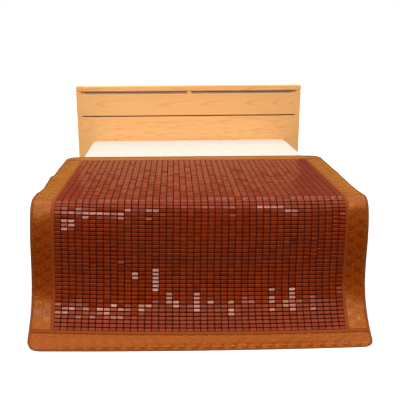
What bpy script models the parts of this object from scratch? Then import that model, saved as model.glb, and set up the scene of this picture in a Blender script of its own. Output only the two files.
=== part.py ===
"""Bamboo tile mat laid on a plain bed, falling over the foot of the bed to the floor.

Metres, +Z up. X runs across the bed, +Y points to the headboard and the floor is at z = 0.
The mat is drawn flat first: x across it, y towards its head end, z above the tops of its tiles.
Then every point is carried onto the drape, a sheet that is flat on the mattress, bends over the
mattress's foot edge, hangs a little off plumb, flares out and comes to rest on the floor.
"""
import math

import bmesh
import bpy
import numpy as np

MODEL_NAME = "bamboo_mat_on_bed"
CENTRE_NAME = "footprint_centre"
GAP = 0.0003

# The mat, flat: bamboo tiles strung in rows and columns, inside a brocade border.
TILE_COLUMNS = 42
TILE_ROWS = 81
COLUMN_PITCH = 0.036
ROW_PITCH = 0.021
GROOVE_HALF_WIDTH = 0.001
GROOVE_DEPTH = 0.0025
STRIP_WIDTH = 0.014
BINDING_WIDTH = 0.012
EDGE_WIDTH = 0.1215
CORNER_RADIUS = 0.070

# Heights of the pieces' top faces and their thicknesses, measured from the tops of the tiles.
TILE_THICKNESS = 0.006
STRIP_TOP = -0.0015
STRIP_THICKNESS = 0.0040
BROCADE_TOP = -0.0025
BROCADE_THICKNESS = 0.0030
BINDING_TOP = -0.0012
BINDING_THICKNESS = 0.0045

# Where the mat lies. Lengths along it are measured from the start of the bend, towards the hem.
FIELD_FOOT = 0.7285
MAT_TURN = math.radians(1.17)
MAT_SIDE_SHIFT = -0.024
ROW_BOW = 0.016
BOW_FADE_LENGTH = 0.70

# The drape: distance past the start of the bend, and the sheet's angle from plumb in degrees.
DRAPE = (
    (0.000, 90.0),
    (0.050, 59.0),
    (0.100, 22.0),
    (0.200, 9.0),
    (0.300, 2.0),
    (0.400, 3.0),
    (0.500, 13.5),
    (0.600, 32.0),
    (0.700, 47.0),
    (0.740, 52.0),
    (0.780, 57.0),
    (0.815, 68.0),
    (0.832, 90.0),
)
DRAPE_STEP = 0.002
DRAPE_END = 1.000
DRAPE_SMOOTHING = 9

# Ripples of the soft side borders: place along the mat, lift of the left and the right outer edge.
EDGE_RIPPLES = (
    (-1.10, 0.000, 0.000),
    (-0.75, -0.001, -0.004),
    (-0.57, -0.006, -0.004),
    (-0.46, 0.009, -0.007),
    (-0.36, 0.000, -0.009),
    (-0.25, -0.008, -0.011),
    (-0.17, -0.004, -0.010),
    (-0.08, 0.009, -0.005),
    (0.00, 0.008, 0.000),
    (0.06, 0.005, 0.000),
    (0.12, 0.000, 0.000),
)

# Where the meshes of the mat have their cross rows.
FLAT_STATIONS = [-0.60, -0.30, -0.10, -0.035]
RIPPLE_STATIONS = [-0.75, -0.57, -0.46, -0.36, -0.25, -0.17, -0.08, -0.035]
BEND_STATIONS = [-0.01, 0.015, 0.04, 0.065, 0.09, 0.12, 0.17, 0.24]
BEND_STATIONS += [0.32, 0.39, 0.45, 0.51, 0.57, 0.63, 0.69]
STATION_CLEARANCE = 0.008
BINDING_CORNER_TURNS = 7
MATTRESS_CORNER_TURNS = 6
BORDER_COLUMNS = 5
END_COLUMNS = 25
END_BODY_ROWS = 3

# The bed under it.
MATTRESS_WIDTH = 1.580
MATTRESS_DEPTH = 0.240
MATTRESS_FOOT_REACH = 0.066
MATTRESS_FOOT_RADIUS = 0.082
MATTRESS_EDGE_RADIUS = 0.050
MATTRESS_SIDE_RADIUS = 0.045
DECK_THICKNESS = 0.018
RAIL_HEIGHT = 0.160
RAIL_THICKNESS = 0.025
FOOT_RAIL_REACH = 0.055
LEG_SIZE = 0.060

# The headboard: its front face's distance behind the start of the bend, its top's height above
# the tops of the tiles, and its boards.
HEADBOARD_Y = 1.824
HEADBOARD_WIDTH = 1.800
HEADBOARD_RISE = 0.426
TOP_RAIL_HEIGHT = 0.045
TOP_RAIL_DEPTH = 0.0525
SLOT_HEIGHT = 0.021
PANEL_HEIGHT = 0.170
PANEL_THICKNESS = 0.022
LOWER_GAP_HEIGHT = 0.010
LOWER_PANEL_BOTTOM = 0.260
END_SPACER_LENGTH = 0.041
MIDDLE_SPACER_LENGTH = 0.035
POST_WIDTH = 0.070
POST_DEPTH = 0.030
SLOT_BACK_THICKNESS = 0.009
SLOT_BACK_HEIGHT = 0.090
BOARD_BEVEL = 0.002
RAIL_END_BEVEL = 0.006

FIELD_HALF = TILE_COLUMNS * COLUMN_PITCH / 2
MAT_HALF = FIELD_HALF + EDGE_WIDTH
FIELD_HEAD = FIELD_FOOT - TILE_ROWS * ROW_PITCH
HEM = FIELD_FOOT + EDGE_WIDTH
HEAD_END = FIELD_HEAD - EDGE_WIDTH
BINDING_INNER_RADIUS = CORNER_RADIUS - BINDING_WIDTH
BROCADE_CORNER_RADIUS = BINDING_INNER_RADIUS - GAP
CORNER_TURNS = np.radians(np.linspace(0, 90, BINDING_CORNER_TURNS))
CLOTH_CLEARANCE = 0.0005


def drape_profile():
    """Arc length, distance forward, drop and angle from plumb along the drape's middle line."""
    length = np.arange(-DRAPE_SMOOTHING * DRAPE_STEP, DRAPE_END, DRAPE_STEP)
    table = np.array(DRAPE)
    angle = np.interp(length, table[:, 0], table[:, 1])
    window = np.ones(2 * DRAPE_SMOOTHING + 1) / (2 * DRAPE_SMOOTHING + 1)
    angle = np.radians(np.convolve(np.pad(angle, DRAPE_SMOOTHING, mode="edge"), window, "valid"))
    middle = (angle[1:] + angle[:-1]) / 2
    forward = length[0] + np.concatenate([[0], np.cumsum(np.sin(middle)) * DRAPE_STEP])
    drop = np.concatenate([[0], np.cumsum(np.cos(middle)) * DRAPE_STEP])
    return length, forward, drop, angle


PROFILE = drape_profile()
TOP_HEIGHT = TILE_THICKNESS + PROFILE[2][-1]
MATTRESS_BOTTOM = TOP_HEIGHT - TILE_THICKNESS - CLOTH_CLEARANCE - MATTRESS_DEPTH
DECK_BOTTOM = MATTRESS_BOTTOM - GAP - DECK_THICKNESS


def smooth_step(value):
    """0 below 0, 1 above 1, with level ends."""
    value = np.clip(value, 0, 1)
    return value * value * (3 - 2 * value)


def drape(flat):
    """Carries points drawn flat onto the drape: turn, bow, bend, ripple, then height above the cloth."""
    across, along, height = flat[:, 0], -flat[:, 1], flat[:, 2]
    fade = smooth_step((along - HEAD_END) / BOW_FADE_LENGTH)
    along = along + ROW_BOW * (1 - (across / MAT_HALF) ** 2) * fade
    x = MAT_SIDE_SHIFT + across * math.cos(MAT_TURN) - along * math.sin(MAT_TURN)
    path = along * math.cos(MAT_TURN) + across * math.sin(MAT_TURN)
    length, forward, drop, angle = PROFILE
    before = np.minimum(path - length[0], 0)
    path = np.maximum(path, length[0])
    tilt = np.interp(path, length, angle)
    y = -(np.interp(path, length, forward) + before)
    z = TOP_HEIGHT - np.interp(path, length, drop)
    ripples = np.array(EDGE_RIPPLES)
    left = np.interp(along, ripples[:, 0], ripples[:, 1])
    right = np.interp(along, ripples[:, 0], ripples[:, 2])
    softness = np.clip((np.abs(across) - FIELD_HALF) / EDGE_WIDTH, 0, 1) ** 2
    height = height + softness * np.where(across < 0, left, right)
    return np.stack([x, y - height * np.cos(tilt), z + height * np.sin(tilt)], axis=1)


def clear_scene():
    for item in list(bpy.data.objects):
        bpy.data.objects.remove(item, do_unlink=True)


def make_material(name, colour, roughness):
    material = bpy.data.materials.new(name)
    material.use_nodes = True
    shader = material.node_tree.nodes["Principled BSDF"]
    shader.inputs["Base Color"].default_value = (*colour, 1.0)
    shader.inputs["Roughness"].default_value = roughness
    shader.inputs["Metallic"].default_value = 0.0


def add_object(name, mesh, finish):
    """Puts a mesh into the model under its own name, with one of the finishes."""
    item = bpy.data.objects.new(name, mesh)
    item.parent = bpy.data.objects[CENTRE_NAME]
    mesh.materials.append(bpy.data.materials[finish])
    bpy.data.collections[MODEL_NAME].objects.link(item)
    return item


def lay_on_bed(mesh):
    """Moves a mesh that was drawn flat onto the drape."""
    flat = np.empty(len(mesh.vertices) * 3)
    mesh.vertices.foreach_get("co", flat)
    mesh.vertices.foreach_set("co", drape(flat.reshape(-1, 3)).ravel())
    mesh.update()


def cloth_panel(name, across, along, top, thickness, finish):
    """A sewn sheet: a grid drawn flat, laid on the drape and given its thickness downwards.

    across and along are grids of flat places, their rows running from the hem towards the head
    end and their columns from left to right.
    """
    rows, columns = across.shape
    bm = bmesh.new()
    bmesh.ops.create_grid(bm, x_segments=columns - 1, y_segments=rows - 1, size=1.0)
    mesh = bpy.data.meshes.new(name)
    bm.to_mesh(mesh)
    bm.free()
    flat = np.stack([across, -along, np.full_like(across, top)], axis=-1)
    mesh.vertices.foreach_set("co", flat.ravel())
    lay_on_bed(mesh)
    item = add_object(name, mesh, finish)
    solidify = item.modifiers.new("Thickness", "SOLIDIFY")
    solidify.thickness = thickness
    solidify.offset = -1.0


def strip_grid(left, right, columns, stations):
    """The flat grid of a band between two lines along the mat."""
    across = np.linspace(left, right, columns)
    along = np.sort(np.array(stations))[::-1]
    return np.meshgrid(across, along)


def stations_between(first, last, inner):
    """Places along the mat from first to last, with the listed ones that lie clear of both."""
    low, high = first + STATION_CLEARANCE, last - STATION_CLEARANCE
    return [first] + [place for place in inner if low < place < high] + [last]


def loft(name, rings, caps):
    """A closed mesh through rings of points, with faces over the first and the last ring.

    rings is an array of rings x points x 3, and caps lists the points of each end face.
    """
    count, around, _ = rings.shape
    bm = bmesh.new()
    rows = [[bm.verts.new(point) for point in ring] for ring in rings]
    for here, there in zip(rows, rows[1:]):
        for index in range(around):
            after = (index + 1) % around
            bm.faces.new((here[index], here[after], there[after], there[index]))
    for cap in caps:
        bm.faces.new([rows[0][index] for index in cap])
        bm.faces.new([rows[-1][index] for index in reversed(cap)])
    bmesh.ops.recalc_face_normals(bm, faces=bm.faces)
    mesh = bpy.data.meshes.new(name)
    bm.to_mesh(mesh)
    bm.free()
    return mesh


def rib_section():
    """The tile field across its columns: points round the section, and one end face a column.

    Each column is a flat rib; between two ribs the top dips into a groove.
    """
    edges = np.linspace(-FIELD_HALF + GAP / 2, FIELD_HALF - GAP / 2, TILE_COLUMNS + 1)
    top = [(edges[0], 0.0)]
    for edge in edges[1:-1]:
        top += [(edge - GROOVE_HALF_WIDTH, 0.0), (edge, -GROOVE_DEPTH), (edge + GROOVE_HALF_WIDTH, 0.0)]
    top.append((edges[-1], 0.0))
    bottom = [(edge, -TILE_THICKNESS) for edge in edges[::-1]]
    caps = []
    last = len(top) + len(bottom) - 1
    for column in range(TILE_COLUMNS):
        first_top = max(3 * column - 1, 0)
        last_top = min(3 * column + 2, len(top) - 1)
        caps.append(list(range(first_top, last_top + 1)) + [last - column - 1, last - column])
    return np.array(top + bottom), caps


def tile_field():
    """The strung tiles as one sheet: a rib for each column of tiles, a groove between columns."""
    section, caps = rib_section()
    stations = stations_between(FIELD_HEAD + GAP / 2, FIELD_FOOT - GAP / 2, FLAT_STATIONS + BEND_STATIONS)
    across = np.repeat(section[None, :, 0], len(stations), axis=0)
    height = np.repeat(section[None, :, 1], len(stations), axis=0)
    along = np.repeat(np.array(stations)[:, None], len(section), axis=1)
    mesh = loft("tile_field", np.stack([across, -along, height], axis=-1), caps)
    lay_on_bed(mesh)
    add_object("tile_field", mesh, "carbonised_bamboo")


def rounded_half_width(along, radius, reach):
    """Half the width of an end panel at a place along the mat, narrowing round its corners."""
    past = np.clip((along - (reach - CORNER_RADIUS)) / radius, 0, 1)
    return MAT_HALF - CORNER_RADIUS + radius * np.sqrt(1 - past**2)


def end_border(name, seam, reach, toward):
    """The full-width brocade panel across one end of the mat, with two rounded corners.

    toward is +1 at the foot and -1 at the head, and seam and reach are places along the mat.
    """
    corner_start = reach * toward - CORNER_RADIUS
    body = np.linspace(seam * toward, corner_start, END_BODY_ROWS + 1)[:-1]
    along = np.concatenate([body, corner_start + BROCADE_CORNER_RADIUS * np.sin(CORNER_TURNS)])
    half = rounded_half_width(along, BROCADE_CORNER_RADIUS, reach * toward)
    across = half[:, None] * np.linspace(-1, 1, END_COLUMNS)[None, :]
    places = np.repeat(along[:, None], END_COLUMNS, axis=1) * toward
    if toward > 0:
        across, places = across[::-1], places[::-1]
    cloth_panel(name, across, places, BROCADE_TOP, BROCADE_THICKNESS, "brocade_satin")


def corner_path(radius, reach, toward):
    """The outline of one end at a distance from its edge: corner, straight run, corner."""
    turns = CORNER_TURNS
    centre = MAT_HALF - CORNER_RADIUS
    start = reach * toward - CORNER_RADIUS
    run = np.linspace(-centre, centre, END_COLUMNS - 1)[1:-1]
    across = np.concatenate([-centre - radius * np.cos(turns), run, centre + radius * np.cos(turns[::-1])])
    rise = start + radius * np.sin(turns)
    along = np.concatenate([rise, np.full(len(run), start + radius), rise[::-1]])
    return across, along * toward


def end_binding(name, reach, toward):
    """The narrow edge binding round one end of the mat and its two corners."""
    outer = corner_path(CORNER_RADIUS, reach, toward)
    inner = corner_path(BINDING_INNER_RADIUS, reach, toward)
    pair = (outer, inner) if toward > 0 else (inner, outer)
    across = np.stack([pair[0][0], pair[1][0]])
    along = np.stack([pair[0][1], pair[1][1]])
    cloth_panel(name, across, along, BINDING_TOP, BINDING_THICKNESS, "edge_binding")


def side_pieces(side):
    """Inner strip, brocade border and edge binding of one long side; side is -1 left, +1 right."""
    strip_edge = FIELD_HALF + STRIP_WIDTH
    binding_edge = MAT_HALF - BINDING_WIDTH
    seams = (FIELD_HEAD, FIELD_FOOT)
    corners = (HEAD_END + CORNER_RADIUS + GAP, HEM - CORNER_RADIUS - GAP)
    strip = (FIELD_HALF + GAP / 2, strip_edge - GAP / 2, 2, seams)
    border = (strip_edge + GAP / 2, binding_edge - GAP, BORDER_COLUMNS, seams)
    binding = (binding_edge, MAT_HALF, 2, corners)
    side_band("strip_", side, strip, STRIP_TOP, STRIP_THICKNESS, "plain_satin_strip")
    side_band("border_", side, border, BROCADE_TOP, BROCADE_THICKNESS, "brocade_satin")
    side_band("binding_", side, binding, BINDING_TOP, BINDING_THICKNESS, "edge_binding")


def side_band(prefix, side, band, top, thickness, finish):
    """One sewn band along a long side, between two distances from the middle of the mat."""
    near, far, columns, ends = band
    left, right = sorted((side * near, side * far))
    inner = RIPPLE_STATIONS + BEND_STATIONS
    stations = stations_between(ends[0] + GAP / 2, ends[1] - GAP / 2, inner)
    across, along = strip_grid(left, right, columns, stations)
    cloth_panel(prefix + side_name(side), across, along, top, thickness, finish)


def side_name(side):
    return "left" if side < 0 else "right"


def end_strip(name, near, toward):
    """The plain strip sewn between the tiles and the brocade at one end, from binding to binding."""
    half = MAT_HALF - BINDING_WIDTH - GAP
    stations = (near + toward * GAP / 2, near + toward * (STRIP_WIDTH - GAP / 2))
    across, along = strip_grid(-half, half, END_COLUMNS, stations)
    cloth_panel(name, across, along, STRIP_TOP, STRIP_THICKNESS, "plain_satin_strip")


def build_mat():
    tile_field()
    side_pieces(-1)
    side_pieces(1)
    ends = (("foot", FIELD_FOOT, HEM, 1), ("head", FIELD_HEAD, HEAD_END, -1))
    for name, field_end, reach, toward in ends:
        end_strip("strip_" + name, field_end, toward)
        end_border("border_" + name, field_end + toward * (STRIP_WIDTH + GAP / 2), reach, toward)
        end_binding("binding_" + name, reach, toward)


def board(name, low, high, finish="honey_wood", bevel=BOARD_BEVEL):
    """A sawn board between two corners, with eased edges."""
    low, high = np.array(low), np.array(high)
    bm = bmesh.new()
    bmesh.ops.create_cube(bm, size=1.0)
    bmesh.ops.scale(bm, vec=high - low, verts=bm.verts)
    mesh = bpy.data.meshes.new(name)
    bm.to_mesh(mesh)
    bm.free()
    item = add_object(name, mesh, finish)
    item.location = (low + high) / 2
    ease = item.modifiers.new("Eased edges", "BEVEL")
    ease.width = bevel
    ease.segments = 1


def mattress_section(inset):
    """The mattress seen from its side, drawn in by inset: a block with four rounded corners."""
    foot, head = -MATTRESS_FOOT_REACH + inset, HEADBOARD_Y - GAP - inset
    low, high = MATTRESS_BOTTOM + inset, MATTRESS_BOTTOM + MATTRESS_DEPTH - inset
    corners = (
        (foot, high, 1, -1, MATTRESS_FOOT_RADIUS, 90),
        (foot, low, 1, 1, MATTRESS_EDGE_RADIUS, 180),
        (head, low, -1, 1, MATTRESS_EDGE_RADIUS, 270),
        (head, high, -1, -1, MATTRESS_EDGE_RADIUS, 0),
    )
    points = []
    for y, z, inward_y, inward_z, radius, start in corners:
        radius -= inset
        turns = np.radians(start + np.linspace(0, 90, MATTRESS_CORNER_TURNS))
        centre_y, centre_z = y + inward_y * radius, z + inward_z * radius
        points += list(zip(centre_y + radius * np.cos(turns), centre_z + radius * np.sin(turns)))
    return np.array(points)


def mattress():
    """The mattress: its side outline carried across the bed, drawn in round both side edges."""
    turns = np.radians(np.linspace(0, 90, MATTRESS_CORNER_TURNS))
    half = MATTRESS_WIDTH / 2
    edge = half - MATTRESS_SIDE_RADIUS * (1 - np.sin(turns))
    places = np.concatenate([-edge[::-1], edge])
    inset = MATTRESS_SIDE_RADIUS * (1 - np.cos(turns))
    rings = []
    for place, drawn_in in zip(places, np.concatenate([inset[::-1], inset])):
        section = mattress_section(drawn_in)
        rings.append(np.column_stack([np.full(len(section), place), section]))
    mesh = loft("mattress", np.array(rings), [list(range(4 * MATTRESS_CORNER_TURNS))])
    add_object("mattress", mesh, "mattress_ticking")


def build_bed_base():
    """Side rails, foot rail, deck board and foot legs, under the mattress."""
    rail_top = DECK_BOTTOM - GAP
    rail_low = rail_top - RAIL_HEIGHT
    outer = MATTRESS_WIDTH / 2
    foot = -FOOT_RAIL_REACH
    back = HEADBOARD_Y - GAP
    inner = outer - RAIL_THICKNESS
    board("foot_rail", (-outer, foot, rail_low), (outer, foot + RAIL_THICKNESS, rail_top))
    for side in (-1, 1):
        near, far = sorted((side * outer, side * inner))
        start = foot + RAIL_THICKNESS + GAP
        board("side_rail_" + side_name(side), (near, start, rail_low), (far, back, rail_top))
        near, far = sorted((side * (inner - GAP), side * (inner - GAP - LEG_SIZE)))
        board("foot_leg_" + side_name(side), (near, start, 0), (far, start + LEG_SIZE, rail_top))
    board("deck", (-outer, foot, DECK_BOTTOM), (outer, back, DECK_BOTTOM + DECK_THICKNESS))


def build_headboard():
    """Two posts, a top rail, an open slot with a shaded back, a panel, a narrow gap and a lower panel."""
    half = HEADBOARD_WIDTH / 2
    front, back = HEADBOARD_Y, HEADBOARD_Y + PANEL_THICKNESS
    top = TOP_HEIGHT + HEADBOARD_RISE
    rail_low = top - TOP_RAIL_HEIGHT
    panel_top = rail_low - SLOT_HEIGHT
    panel_low = panel_top - PANEL_HEIGHT
    lower_top = panel_low - LOWER_GAP_HEIGHT
    rail_back = front + TOP_RAIL_DEPTH
    board("top_rail", (-half, front, rail_low), (half, rail_back, top), bevel=RAIL_END_BEVEL)
    board("upper_panel", (-half, front, panel_low), (half, back, panel_top))
    board("lower_panel", (-half, front, LOWER_PANEL_BOTTOM), (half, back, lower_top))
    slot_low, slot_high = panel_top + GAP, rail_low - GAP
    gap_low, gap_high = lower_top + GAP, panel_low - GAP
    middle = MIDDLE_SPACER_LENGTH / 2
    board("slot_spacer_middle", (-middle, front, slot_low), (middle, back, slot_high))
    for side in (-1, 1):
        name = side_name(side)
        near, far = sorted((side * half, side * (half - END_SPACER_LENGTH)))
        board("slot_spacer_" + name, (near, front, slot_low), (far, back, slot_high))
        board("gap_spacer_" + name, (near, front, gap_low), (far, back, gap_high))
        near, far = sorted((side * half, side * (half - POST_WIDTH)))
        post_low = (near, back + GAP, 0)
        board("head_post_" + name, post_low, (far, back + GAP + POST_DEPTH, rail_low - GAP))
    reach = half - POST_WIDTH - GAP
    back_low = (-reach, back + GAP, rail_low - SLOT_BACK_HEIGHT)
    back_high = (reach, back + GAP + SLOT_BACK_THICKNESS, rail_low - GAP)
    board("slot_back", back_low, back_high, "slot_shade")


def centre_footprint():
    """Moves the whole model so that the origin is below the middle of its bounding box."""
    bpy.context.view_layer.update()
    graph = bpy.context.evaluated_depsgraph_get()
    corners = []
    for item in bpy.data.collections[MODEL_NAME].objects:
        if item.type == "MESH":
            shape = item.evaluated_get(graph)
            mesh = shape.to_mesh()
            points = np.empty(len(mesh.vertices) * 3, dtype=np.float32)
            mesh.vertices.foreach_get("co", points)
            points = points.reshape(-1, 3) + np.array(item.matrix_world.translation)
            corners += [points.min(axis=0), points.max(axis=0)]
            shape.to_mesh_clear()
    middle = (np.min(corners, axis=0) + np.max(corners, axis=0)) / 2
    bpy.data.objects[CENTRE_NAME].location = (-middle[0], -middle[1], 0)
    bpy.context.view_layer.update()


def make_materials():
    make_material("carbonised_bamboo", (0.165, 0.030, 0.010), 0.32)
    make_material("plain_satin_strip", (0.330, 0.110, 0.045), 0.45)
    make_material("brocade_satin", (0.400, 0.140, 0.040), 0.38)
    make_material("edge_binding", (0.150, 0.035, 0.012), 0.55)
    make_material("mattress_ticking", (0.780, 0.740, 0.660), 0.85)
    make_material("honey_wood", (0.800, 0.440, 0.170), 0.50)
    make_material("slot_shade", (0.220, 0.130, 0.065), 0.70)


def main():
    clear_scene()
    collection = bpy.data.collections.new(MODEL_NAME)
    bpy.context.scene.collection.children.link(collection)
    collection.objects.link(bpy.data.objects.new(CENTRE_NAME, None))
    make_materials()
    build_mat()
    mattress()
    build_bed_base()
    build_headboard()
    centre_footprint()


main()
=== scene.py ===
"""The finished look of a bamboo tile mat on a plain bed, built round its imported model.

Metres, +Z up. The mat is drawn flat first: across it, along it towards the hem, and height above
the tops of its tiles. drape() then carries every point onto the bed. The start of the bend lies
over the mattress's foot edge, at along = 0.
"""
import math

import bpy
import numpy as np
from mathutils import Euler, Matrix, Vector


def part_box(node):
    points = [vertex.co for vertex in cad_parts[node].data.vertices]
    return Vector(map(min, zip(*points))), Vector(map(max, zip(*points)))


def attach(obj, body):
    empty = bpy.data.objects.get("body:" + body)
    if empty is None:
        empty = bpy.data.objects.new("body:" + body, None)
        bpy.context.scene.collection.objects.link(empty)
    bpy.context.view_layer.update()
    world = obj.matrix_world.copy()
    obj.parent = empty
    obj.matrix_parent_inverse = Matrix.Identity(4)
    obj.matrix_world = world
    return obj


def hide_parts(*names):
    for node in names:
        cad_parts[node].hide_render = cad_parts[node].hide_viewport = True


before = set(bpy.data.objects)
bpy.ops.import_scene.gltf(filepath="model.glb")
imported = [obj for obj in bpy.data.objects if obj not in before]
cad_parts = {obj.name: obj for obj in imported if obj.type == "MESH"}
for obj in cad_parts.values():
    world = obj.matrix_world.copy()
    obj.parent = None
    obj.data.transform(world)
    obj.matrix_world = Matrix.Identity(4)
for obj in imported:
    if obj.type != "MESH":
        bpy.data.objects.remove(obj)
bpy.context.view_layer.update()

bl_info = {
    "name": "Bamboo tile mat on a bed",
    "version": (1, 0, 0),
    "blender": (4, 5, 0),
    "location": "3D View > Sidebar > Bamboo mat",
    "description": "Makes the tiles, cords, brocade border, bedding, woodwork and studio of a bed mat",
    "category": "Object",
}

BODY = "root"

# The mat, flat: 42 columns of 81 tiles inside a border of satin strip, brocade and binding.
TILE_COLUMNS = 42
TILE_ROWS = 81
COLUMN_PITCH = 0.036
ROW_PITCH = 0.021
STRIP_WIDTH = 0.014
BINDING_WIDTH = 0.012
EDGE_WIDTH = 0.1215
CORNER_RADIUS = 0.070
SEAM_LAP = 0.0005
BINDING_LAP = 0.0025
STRIP_TOP = -0.0015
STRIP_THICKNESS = 0.0040
BROCADE_TOP = -0.0025
BROCADE_THICKNESS = 0.0030
BINDING_TOP = -0.0012
BINDING_THICKNESS = 0.0045

# Where the mat lies, as lengths along it from the start of the bend towards the hem.
FIELD_FOOT = 0.7285
MAT_TURN = math.radians(1.17)
MAT_SIDE_SHIFT = -0.024
ROW_BOW = 0.016
BOW_FADE_LENGTH = 0.70
TILE_THICKNESS = 0.006

# The drape: distance past the start of the bend, and the sheet's angle from plumb in degrees.
DRAPE = (
    (0.000, 90.0),
    (0.050, 59.0),
    (0.100, 22.0),
    (0.200, 9.0),
    (0.300, 2.0),
    (0.400, 3.0),
    (0.500, 13.5),
    (0.600, 32.0),
    (0.700, 47.0),
    (0.740, 52.0),
    (0.780, 57.0),
    (0.815, 68.0),
    (0.832, 90.0),
)
DRAPE_STEP = 0.002
DRAPE_END = 1.000
DRAPE_SMOOTHING = 9

# Ripples of the soft side borders: place along the mat, lift of the left and the right outer edge.
EDGE_RIPPLES = (
    (-1.10, 0.000, 0.000),
    (-0.75, -0.001, -0.004),
    (-0.57, -0.006, -0.004),
    (-0.46, 0.009, -0.007),
    (-0.36, 0.000, -0.009),
    (-0.25, -0.008, -0.011),
    (-0.17, -0.004, -0.010),
    (-0.08, 0.009, -0.005),
    (0.00, 0.008, 0.000),
    (0.06, 0.005, 0.000),
    (0.12, 0.000, 0.000),
)

FIELD_HALF = TILE_COLUMNS * COLUMN_PITCH / 2
FIELD_LENGTH = TILE_ROWS * ROW_PITCH
MAT_HALF = FIELD_HALF + EDGE_WIDTH
FIELD_HEAD = FIELD_FOOT - FIELD_LENGTH
HEM = FIELD_FOOT + EDGE_WIDTH
HEAD_END = FIELD_HEAD - EDGE_WIDTH
BROCADE_CORNER_RADIUS = CORNER_RADIUS - BINDING_WIDTH + BINDING_LAP
SIDES = ("left", "right", "foot", "head")

# Tiles and cords.
TILE_CORNER = 0.0012
TILE_INSETS = ((-0.0024, -0.0026), (0.0, 0.0), (0.0006, 0.0009))
TILE_CROWN_INSET = (0.0014, 0.0026)
TILE_SEED = 11
ROCKING_SHARE = 0.7
TONE_SPREAD = 0.17
COLUMN_TONE_SPREAD = 0.07

# Patches of tiles that stand out of line: first column and row, columns and rows, turn in degrees.
LIFTED_TILES = (
    (0, 50, 4, 1, -8),
    (6, 50, 4, 1, -8),
    (0, 51, 4, 1, 6),
    (4, 51, 6, 1, 8),
    (4, 52, 1, 1, 11),
    (6, 52, 4, 1, 8),
    (1, 53, 2, 3, 15),
    (13, 52, 1, 1, 12),
    (33, 50, 2, 2, 6),
    (41, 51, 1, 4, 11),
    (37, 57, 1, 5, 16),
    (9, 63, 1, 1, 23),
    (5, 64, 1, 1, 21),
    (7, 68, 1, 1, 12),
    (2, 71, 1, 1, 7),
    (13, 74, 28, 4, 8),
    (11, 76, 1, 1, -9),
    (8, 77, 2, 1, -12),
)

# Tiles that lean alike, at one angle from plumb, and so catch the light: column, first row, rows.
GLINTING_TILES = (
    (11, 66, 2),
    (14, 65, 6),
    (16, 71, 3),
    (17, 73, 2),
    (20, 71, 5),
    (25, 73, 1),
    (25, 75, 2),
    (31, 70, 1),
    (31, 72, 2),
    (31, 75, 1),
    (33, 73, 2),
    (34, 70, 6),
    (37, 72, 4),
    (41, 70, 2),
)
GLINT_ANGLE = math.radians(33.3)
GLINT_STRAY = 0.2
FIBRE_SEED = 5
FIBRE_SPREAD = 40.0
CORD_SIDES = 4
CORD_HEIGHT = -0.0026

# Grid cells of the cloth, and its crowns and puckers.
SIDE_CELLS = 284
END_CELLS = 250
STRIP_CELLS = 6
BROCADE_CELLS = 16
STRIP_CROWN = 0.0009
STRIP_TUCK = 0.0030
PANEL_SWELL = 0.0014
PANEL_WAVE = 0.0006
PUCKER_LENGTH = 0.021
PUCKER_DEPTH = 0.0022
PUCKER_REACH = 0.16
BINDING_STEP = 0.006
BINDING_SIDES = 12
BINDING_FLATNESS = 0.7
BINDING_PUCKER = 0.016
BINDING_PUCKER_DEPTH = 0.10
STITCH_SETBACK = 0.0018
STITCH_WIDTH = 0.0008
STITCH_RISE = 0.0004
STITCH_HEIGHT_BINDING = -0.0014
STITCH_HEIGHT_BROCADE = -0.0036
SATIN_THREAD = 0.0006
# Painted shade in the grooves where cloth runs into its seams.
SEAM_SHADE_COLOUR = (0.012, 0.003, 0.001)
SEAM_SHADE_STRENGTH = 0.7
CELL_ASPECT = 1.34
FLOWER_SHARE = 0.24
# The darker colour that the brocade's painted sheen flecks lighten from.
BROCADE_SHADOW = (0.05, 0.006, 0.001)
BROCADE_IOR = 1.64

# The mattress's grid and cloth.
MATTRESS_CORNER_CELLS = 8
MATTRESS_LONG_CELLS = 190
MATTRESS_WIDE_CELLS = 150
QUILT_GROOVE_WIDTH = 0.008
QUILT_FADE = 0.03
TICKING_THREAD = 0.0012

# The board behind the headboard's lower gap.
GAP_BACK_HEIGHT = 0.050
GAP_BACK_THICKNESS = 0.009
GAP_BACK_BEVEL = 0.002

# The stage.
FLOOR_REACH = 40.0
FLOOR_HEIGHT = -0.0005
CAMERA_REACH = 120.0
KEY_AIM = (0.0, -0.8, 0.4)
SKY_RAMP = (0.54, 0.80)
SKY_TINT = (1.0, 0.95, 0.88)
BACKDROP_RAMP = (0.1, 0.7)

# The bed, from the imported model's own boxes.
MATTRESS_LOW, MATTRESS_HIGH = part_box("mattress")
MATTRESS_FOOT_REACH = 0.066
MATTRESS_FOOT_RADIUS = 0.082
MATTRESS_EDGE_RADIUS = 0.050
MATTRESS_SIDE_RADIUS = 0.045
BED_MIDDLE = (MATTRESS_LOW.x + MATTRESS_HIGH.x) / 2
BEND_START = MATTRESS_LOW.y + MATTRESS_FOOT_REACH


def drape_profile():
    """Arc length, distance forward, drop and angle from plumb down the middle of the drape.

    The angle is read from the DRAPE table and smoothed, and forward and drop are the running sums
    of its sine and cosine over equal steps.
    """
    length = np.arange(-DRAPE_SMOOTHING * DRAPE_STEP, DRAPE_END, DRAPE_STEP)
    table = np.array(DRAPE)
    angle = np.interp(length, table[:, 0], table[:, 1])
    window = np.ones(2 * DRAPE_SMOOTHING + 1) / (2 * DRAPE_SMOOTHING + 1)
    angle = np.radians(np.convolve(np.pad(angle, DRAPE_SMOOTHING, mode="edge"), window, "valid"))
    middle = (angle[1:] + angle[:-1]) / 2
    forward = length[0] + np.concatenate([[0], np.cumsum(np.sin(middle)) * DRAPE_STEP])
    drop = np.concatenate([[0], np.cumsum(np.cos(middle)) * DRAPE_STEP])
    return length, forward, drop, angle


PROFILE = drape_profile()
TOP_HEIGHT = TILE_THICKNESS + PROFILE[2][-1]


def smooth_step(value):
    """0 below 0, 1 above 1, with level ends: 3 v^2 - 2 v^3."""
    value = np.clip(value, 0, 1)
    return value * value * (3 - 2 * value)


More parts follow.
